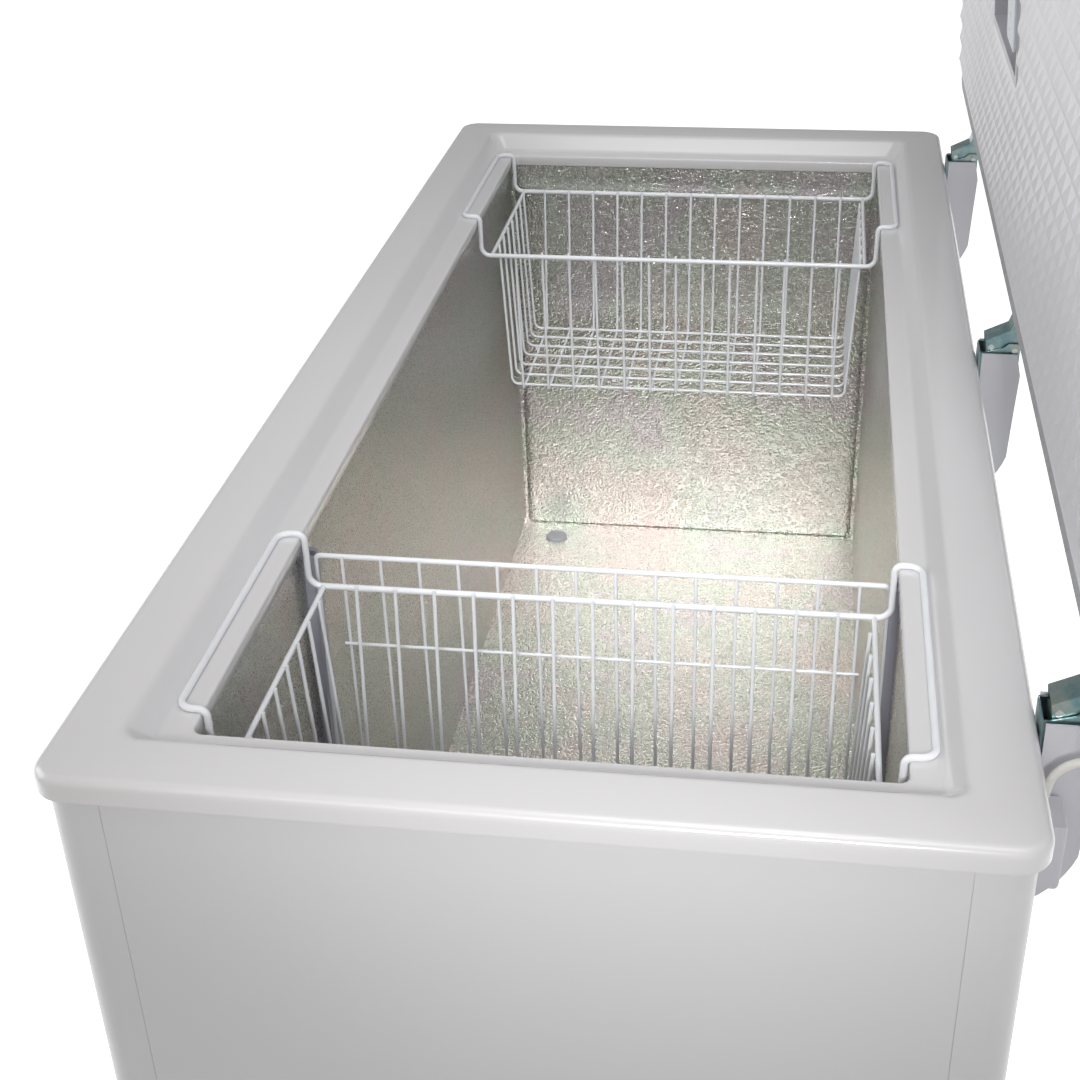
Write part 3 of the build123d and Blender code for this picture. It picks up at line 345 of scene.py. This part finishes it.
paintedShadeWallLiners = {  # painted shade: the long walls sit out of the light, so their colour is painted darker; their pebble grain is also finer
    "liner_front_wall": embossedLiner("frontWallLiner", 0.60, 420.0, 0.0006),
    "liner_rear_wall": embossedLiner("rearWallLiner", 0.78, 420.0, 0.0006),
}
for nodeName, node in frame["nodes"].items():
    node.data.materials.clear()
    node.data.materials.append(paintedShadeWallLiners.get(nodeName, materials[slotOf[nodeName]]))
print("stage: materials", len(materials))


# top collar: one glossy moulding with soft edges
collar = {
    "flange": 0.052,
    "slope": 0.015,
    "ledgeDrop": 0.0215,
    "lipInset": 0.089,
    "endExtra": 0.002,
    "skirt": 0.019,
    "edge": 0.008,
    "lipRound": 0.0026,
    "wall": 0.0025,
    # inset from the rim and the corner radius there
    "corners": ((0.0, 0.026), (0.008, 0.019), (0.052, 0.017), (0.067, 0.013), (0.093, 0.009)),
}


def collarRadius(inset):
    stops = collar["corners"]
    for (near, nearRadius), (far, farRadius) in zip(stops, stops[1:]):
        if inset <= far:
            return nearRadius + (farRadius - nearRadius) * (inset - near) / (far - near)
    return stops[-1][1]


def collarProfile():
    flange, edge, wall = collar["flange"], collar["edge"], collar["wall"]
    lip, lipRound = collar["lipInset"], collar["lipRound"]
    foot = flange + collar["slope"]
    ledge = rimZ - collar["ledgeDrop"]
    skirt = rimZ - collar["skirt"]
    low = collarLow.z
    under = ledge - wall
    outline = [(0.0, skirt), (0.0, skirt + 0.0005)]
    outline += list(arc(edge, rimZ - edge, edge, 180, 90, 8))
    # soft brow, slope and hollow down to the ledge, then the lip round the opening
    outline += [(flange - 0.005, rimZ), (flange - 0.0025, rimZ - 0.0003), (flange, rimZ - 0.0013)]
    outline += [(flange + 0.0018, rimZ - 0.0034), (foot - 0.0024, ledge + 0.0036)]
    outline += [(foot - 0.0008, ledge + 0.0016), (foot + 0.0010, ledge + 0.0004), (foot + 0.0032, ledge)]
    outline += list(arc(lip - lipRound, ledge - lipRound, lipRound, 90, 0, 5))
    outline += [(lip, low + 0.0008), (lip - 0.0008, low), (lip - wall, low)]
    # back along the underside
    outline += [(lip - wall, under - 0.002), (lip - wall - 0.002, under), (foot - 0.001, under)]
    outline += [(flange - 0.001, rimZ - wall - 0.002), (flange - 0.003, rimZ - wall), (edge, rimZ - wall)]
    outline += [(wall, rimZ - edge), (wall, skirt)]
    profile = []
    for inset, height in outline:
        extra = collar["endExtra"] * min(1, inset / flange)
        profile.append((inset + extra, inset, collarRadius(inset), height))
    return profile


collarPiece = ringShell(
    "topCollar", collarHigh.x, collarHigh.y, collarProfile(), materials["collar_moulding"],
    steps=14, smoothAngle=50, flip=True,
)
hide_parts("top_collar")
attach(collarPiece, "cabinet")
print("stage: collar")


# end walls of the well: a pressed sheet with rolled upright edges over each liner end
wellSheet = {
    "proud": 0.0034,
    "roll": 0.014,
    "sideGap": 0.0055,
    "floorGap": 0.0016,
    "topGap": 0.0005,
    "steps": 10,
}


def endSheet(name, wallX, side, lowZ, highZ):
    halfY = (sideHigh - sideLow) / 2 - wellSheet["sideGap"]
    middle = (sideHigh + sideLow) / 2
    steps, proud, roll = wellSheet["steps"], wellSheet["proud"], wellSheet["roll"]
    bow = []
    for i in range(steps + 1):
        turn = math.radians(90 * i / steps)
        bow.append((proud * math.sin(turn), halfY - roll * (1 - math.cos(turn))))
    left = [(depth, -y) for depth, y in bow]
    line = left + [(depth, -y) for depth, y in reversed(left)]
    points = [(wallX + side * depth, middle + y, z) for z in (lowZ, highZ) for depth, y in line]
    count = len(line)
    faces = [(k, k + 1, count + k + 1, count + k) for k in range(count - 1)]
    foot, head = tuple(reversed(range(count))), tuple(range(count, 2 * count))
    faces += [foot, head, (count - 1, 0, count, 2 * count - 1)]
    if side < 0:
        faces = [tuple(reversed(face)) for face in faces]
    piece = meshObject(name, points, faces, materials["liner_metal"], 50)
    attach(piece, "cabinet")


sideLow = boxOf("liner_front_wall")[1].y
sideHigh = boxOf("liner_rear_wall")[0].y
floorTop = boxOf("liner_floor")[1].z
stepTop = boxOf("liner_step")[1].z
farX = boxOf("liner_left_end")[1].x
nearX = boxOf("liner_right_end")[0].x
sheetTop = collarLow.z - wellSheet["topGap"]
endSheet("farEndSheet", farX, 1, floorTop + wellSheet["floorGap"], sheetTop)
endSheet("nearEndSheet", nearX, -1, stepTop + wellSheet["floorGap"], sheetTop)
print("stage: end sheets")


# lid: ribbed seal and pyramid field
lidSize = {
    "length": 1.574,
    "width": 0.704,
    "near": 0.032,
    "sealInset": 0.030,
    "sealWide": 0.018,
    "sealTall": 0.0086,
    "sealCorner": 0.014,
    "border": 0.001,
    "fieldInset": 0.058,
    "fieldMargin": 0.022,
    "fieldTall": 0.0115,
    "pitch": 0.0281,
    "pyramid": 0.0045,
    "pyramidTip": 0.0007,
    "windowEase": 0.012,  # the lamp tray's own flange already covers this much
}
lidMiddle = lidSize["near"] + lidSize["width"] / 2
lidPlace = lidFrame @ Matrix.Translation((0, lidMiddle, 0))


def sealProfile():
    base, wide, inset = lidSize["border"], lidSize["sealWide"], lidSize["sealInset"]
    top = base + lidSize["sealTall"]
    # one side: foot, waist, bulge and shoulder
    side = [(0.0, base), (0.0005, base + 0.0020), (0.0022, base + 0.0032), (0.0022, base + 0.0044)]
    side += [(0.0002, base + 0.0056), (0.0, base + 0.0072), (0.0012, top - 0.0003), (0.0040, top)]
    crown = [(0.0075, top - 0.0006), (0.0090, top - 0.0011), (0.0105, top - 0.0006)]
    outline = side + crown + [(wide - across, depth) for across, depth in reversed(side)]
    profile = []
    for across, depth in outline:
        corner = max(lidSize["sealCorner"] - across * 0.4, 0.006)
        profile.append((inset + across, inset + across, corner, depth))
    return profile


seal = ringShell(
    "lidSeal", lidSize["length"] / 2, lidSize["width"] / 2, sealProfile(), materials["seal_rubber"],
    place=lidPlace, steps=10, smoothAngle=60,
)
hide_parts("lid_gasket")
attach(seal, "lid")


def socketName(group, name):
    for item in group.interface.items_tree:
        if item.item_type == "SOCKET" and item.in_out == "INPUT" and item.name == name:
            return item.identifier
    raise KeyError(name)


def finishedMesh(thing):
    bpy.context.view_layer.update()
    graph = bpy.context.evaluated_depsgraph_get()
    return bpy.data.meshes.new_from_object(thing.evaluated_get(graph))


def applyGroup(thing, group, values):
    modifier = thing.modifiers.new(group.name, "NODES")
    modifier.node_group = group
    for name, value in values.items():
        modifier[socketName(group, name)] = value
    made = finishedMesh(thing)
    thing.modifiers.clear()
    old = thing.data
    thing.data = made
    bpy.data.meshes.remove(old)


def newGroup(name, sockets):
    group = bpy.data.node_groups.new(name, "GeometryNodeTree")
    for socket, kind, value in sockets:
        item = group.interface.new_socket(name=socket, in_out="INPUT", socket_type=kind)
        if value is not None:
            item.default_value = value
    group.interface.new_socket(name="Geometry", in_out="OUTPUT", socket_type="NodeSocketGeometry")
    entry = group.nodes.new("NodeGroupInput")
    leave = group.nodes.new("NodeGroupOutput")
    return group, entry, leave


def pyramidGroup():
    group, entry, leave = newGroup("pyramidField", (
        ("Length", "NodeSocketFloat", 1.4),
        ("Width", "NodeSocketFloat", 0.5),
        ("Columns", "NodeSocketInt", 50),
        ("Rows", "NodeSocketInt", 20),
        ("Base", "NodeSocketFloat", 0.014),
        ("Height", "NodeSocketFloat", 0.004),
        ("Tip", "NodeSocketFloat", 0.001),
        ("Window Low", "NodeSocketVector", None),
        ("Window High", "NodeSocketVector", None),
        ("Material", "NodeSocketMaterial", None),
    ))
    nodes, links = group.nodes, group.links
    grid = nodes.new("GeometryNodeMeshGrid")
    links.new(entry.outputs["Length"], grid.inputs["Size X"])
    links.new(entry.outputs["Width"], grid.inputs["Size Y"])
    links.new(entry.outputs["Columns"], grid.inputs["Vertices X"])
    links.new(entry.outputs["Rows"], grid.inputs["Vertices Y"])
    # points inside the lamp's window are left out
    where = nodes.new("GeometryNodeInputPosition")
    split = nodes.new("ShaderNodeSeparateXYZ")
    low = nodes.new("ShaderNodeSeparateXYZ")
    high = nodes.new("ShaderNodeSeparateXYZ")
    links.new(where.outputs[0], split.inputs[0])
    links.new(entry.outputs["Window Low"], low.inputs[0])
    links.new(entry.outputs["Window High"], high.inputs[0])
    tests = []
    for axis in ("X", "Y"):
        for bound, operation in ((low, "GREATER_THAN"), (high, "LESS_THAN")):
            test = nodes.new("FunctionNodeCompare")
            test.data_type = "FLOAT"
            test.operation = operation
            links.new(split.outputs[axis], test.inputs["A"])
            links.new(bound.outputs[axis], test.inputs["B"])
            tests.append(test.outputs["Result"])
    inside = tests[0]
    for test in tests[1:]:
        both = nodes.new("FunctionNodeBooleanMath")
        both.operation = "AND"
        links.new(inside, both.inputs[0])
        links.new(test, both.inputs[1])
        inside = both.outputs[0]
    points = nodes.new("GeometryNodeMeshToPoints")
    outside = nodes.new("FunctionNodeBooleanMath")
    outside.operation = "NOT"
    links.new(inside, outside.inputs[0])
    links.new(grid.outputs["Mesh"], points.inputs["Mesh"])
    links.new(outside.outputs[0], points.inputs["Selection"])
    cone = nodes.new("GeometryNodeMeshCone")
    cone.fill_type = "NGON"
    cone.inputs["Vertices"].default_value = 4
    links.new(entry.outputs["Tip"], cone.inputs["Radius Top"])
    links.new(entry.outputs["Base"], cone.inputs["Radius Bottom"])
    links.new(entry.outputs["Height"], cone.inputs["Depth"])
    turned = nodes.new("GeometryNodeTransform")
    turned.inputs["Rotation"].default_value = (0, 0, math.radians(45))
    links.new(cone.outputs["Mesh"], turned.inputs["Geometry"])
    copies = nodes.new("GeometryNodeInstanceOnPoints")
    links.new(points.outputs["Points"], copies.inputs["Points"])
    links.new(turned.outputs["Geometry"], copies.inputs["Instance"])
    real = nodes.new("GeometryNodeRealizeInstances")
    links.new(copies.outputs["Instances"], real.inputs["Geometry"])
    finish = nodes.new("GeometryNodeSetMaterial")
    links.new(real.outputs["Geometry"], finish.inputs["Geometry"])
    links.new(entry.outputs["Material"], finish.inputs["Material"])
    links.new(finish.outputs["Geometry"], leave.inputs["Geometry"])
    return group


trayLow, trayHigh = boxOf("lamp_tray")
toLid = lidPlace.inverted()
trayCorners = []
for x in (trayLow.x, trayHigh.x):
    for y in (trayLow.y, trayHigh.y):
        trayCorners += [toLid @ Vector((x, y, z)) for z in (trayLow.z, trayHigh.z)]
trayX = (min(c.x for c in trayCorners), max(c.x for c in trayCorners))
trayS = (min(c.y for c in trayCorners), max(c.y for c in trayCorners))
fieldX = lidSize["length"] - 2 * lidSize["fieldInset"] - lidSize["fieldMargin"]
fieldY = lidSize["width"] - 2 * lidSize["fieldInset"] - lidSize["fieldMargin"]
columns = int(fieldX / lidSize["pitch"])
rows = int(fieldY / lidSize["pitch"])
pitchX, pitchY = fieldX / columns, fieldY / rows
pyramids = linkObject("lidPyramids", bpy.data.meshes.new("lidPyramids"))
half = min(pitchX, pitchY) / 2
windowEase = lidSize["windowEase"]
applyGroup(pyramids, pyramidGroup(), {
    "Length": pitchX * (columns - 1),
    "Width": pitchY * (rows - 1),
    "Columns": columns,
    "Rows": rows,
    "Base": half * math.sqrt(2) - 0.0001,  # a hairline groove between neighbours
    "Height": lidSize["pyramid"],
    "Tip": lidSize["pyramidTip"],
    "Window Low": (trayX[0] - half, trayS[0] - half + windowEase, 0.0),
    "Window High": (trayX[1] + half, trayS[1] + half - windowEase, 0.0),
    "Material": materials["lid_moulding"],
})
fieldDepth = lidSize["border"] + lidSize["fieldTall"] - 0.0002  # feet just under the panel's face
pyramids.data.transform(lidPlace @ Matrix.Translation((0, 0, fieldDepth)))
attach(pyramids, "lid")
print("stage: lid", columns, "x", rows, "pyramids")


# lamp lead: junction box to the lid's back edge
lead = {
    "diameter": 0.0065,
    "route": (  # along from the box, out from the middle, up from the box
        (0.012, 0.3545, 0.0),
        (0.012, 0.3545, 0.022),
        (0.014, 0.3650, 0.039),
        (0.018, 0.3840, 0.048),
        (0.022, 0.3985, 0.058),
        (0.024, 0.4056, 0.070),
    ),
    "endAlong": 0.025,
    "endInset": 0.0069,
    "endDepth": -0.022,
}
boxLow, boxHigh = boxOf("lead_junction_box")
leadX, leadZ = boxLow.x, boxHigh.z
endPlace = (leadX + lead["endAlong"], lidSize["near"] - lead["endInset"], lead["endDepth"])
leadEnd = lidFrame @ Vector(endPlace)
leadRoute = [(leadX + along, out, leadZ + up) for along, out, up in lead["route"]] + [tuple(leadEnd)]


def nurbsCurve(name, points, bevel=0.0):
    curve = bpy.data.curves.new(name, "CURVE")
    curve.dimensions = "3D"
    curve.resolution_u = 10
    curve.bevel_depth = bevel
    curve.bevel_resolution = 3
    spline = curve.splines.new("NURBS")
    spline.points.add(len(points) - 1)
    for knot, point in zip(spline.points, points):
        knot.co = (*point, 1)
    spline.order_u = 3
    spline.use_endpoint_u = True
    return linkObject(name, curve)


def curveMesh(thing):
    made = finishedMesh(thing)
    bpy.data.objects.remove(thing)
    return made


leadLine = [vertex.co.copy() for vertex in curveMesh(nurbsCurve("leadLine", leadRoute)).vertices]
leadMesh = curveMesh(nurbsCurve("leadTube", leadRoute, lead["diameter"] / 2))
leadMesh.shade_smooth()
leadMesh.materials.clear()
leadMesh.materials.append(materials["lead_sheath"])
leadPiece = linkObject("lampLead", leadMesh)
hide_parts("lamp_lead")
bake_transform(leadPiece)


# stage, light and camera
floor = {
    "half": 14,
    "colour": (0.93, 0.93, 0.93),
    "fade": (("From Min", 0.2), ("From Max", 1.4), ("To Min", 0.85), ("To Max", 0.1)),  # glow along x
}
floorMaterial, floorTree, floorShader, floorPlace = startMaterial("paleFloor", floor["colour"], 0.6)
floorShader.inputs["Emission Color"].default_value = (1, 1, 1, 1)
floorSplit = floorTree.nodes.new("ShaderNodeSeparateXYZ")
floorFade = floorTree.nodes.new("ShaderNodeMapRange")
floorTree.links.new(floorPlace, floorSplit.inputs[0])
floorTree.links.new(floorSplit.outputs["X"], floorFade.inputs["Value"])
for socket, value in floor["fade"]:
    floorFade.inputs[socket].default_value = value
floorTree.links.new(floorFade.outputs["Result"], floorShader.inputs["Emission Strength"])
corners = ((-1, -1), (1, -1), (1, 1), (-1, 1))
floorPoints = [(x * floor["half"], y * floor["half"], 0) for x, y in corners]
floorPiece = meshObject("paleFloor", floorPoints, [(0, 1, 2, 3)], floorMaterial)

room = {"colour": (1, 1, 1, 1), "strength": 0.30}
world = bpy.data.worlds.new("softRoom")
bpy.context.scene.world = world
world.use_nodes = True
background = world.node_tree.nodes["Background"]
background.inputs["Color"].default_value = room["colour"]
background.inputs["Strength"].default_value = room["strength"]

plainLight, warmLight = (1, 1, 1), (1, 0.88, 0.74)
lights = {  # place, aim, size, power, colour
    "overhead": ((0.9, 0.55, 3.3), (0.1, 0, 0.6), (1.8, 1.8), 24, plainLight),
    "leftSoft": ((0.2, -3.2, 1.9), (0, 0, 0.9), (2.0, 2.0), 30, plainLight),
    "warmStrip": ((2.5, -0.75, 2.3), (0.78, -0.1, 0.78), (1.0, 0.08), 4, warmLight),
}


def aimed(name, data, place, aim):
    thing = linkObject(name, data)
    thing.location = place
    thing.rotation_euler = (Vector(aim) - Vector(place)).to_track_quat("-Z", "Y").to_euler()


for name, (place, aim, size, power, colour) in lights.items():
    lamp = bpy.data.lights.new(name, "AREA")
    lamp.shape = "RECTANGLE"
    lamp.size, lamp.size_y = size
    lamp.energy = power
    lamp.color = colour
    aimed(name, lamp, place, aim)

wellLight = {
    "place": (2.9, 0.2, 2.3),
    "aim": (-0.5, 0.03, 0.33),
    "power": 400,
    "angle": 17,
    "blend": 0.9,
    "radius": 0.3,
}
wellLamp = bpy.data.lights.new("wellLight", "SPOT")
wellLamp.energy = wellLight["power"]
wellLamp.spot_size = math.radians(wellLight["angle"])
wellLamp.spot_blend = wellLight["blend"]
wellLamp.shadow_soft_size = wellLight["radius"]
aimed("wellLight", wellLamp, wellLight["place"], wellLight["aim"])

view = {
    "place": (1.6237, 0.1715, rimZ + 0.7135),
    "yaw": 0.1534,
    "pitch": -0.5308,
    "roll": -0.0261,
    "lens": 55.2,
    "shift": (-0.0306, -0.001),
}
yaw, pitch, roll = view["yaw"], view["pitch"], view["roll"]
ahead = Vector((-math.cos(yaw) * math.cos(pitch), -math.sin(yaw) * math.cos(pitch), math.sin(pitch)))
level = ahead.cross(Vector((0, 0, 1))).normalized()
upright = level.cross(ahead)
camRight = math.cos(roll) * level + math.sin(roll) * upright
camUp = math.cos(roll) * upright - math.sin(roll) * level
camData = bpy.data.cameras.new("viewCamera")
camData.sensor_width = 36
camData.lens = view["lens"]
camData.shift_x, camData.shift_y = view["shift"]
camObject = linkObject("viewCamera", camData)
camTurn = Matrix((camRight, camUp, -ahead)).transposed().to_4x4()
camObject.matrix_world = Matrix.Translation(view["place"]) @ camTurn
bpy.context.scene.camera = camObject
bpy.context.scene.view_settings.view_transform = "Standard"
print("stage: light and camera")
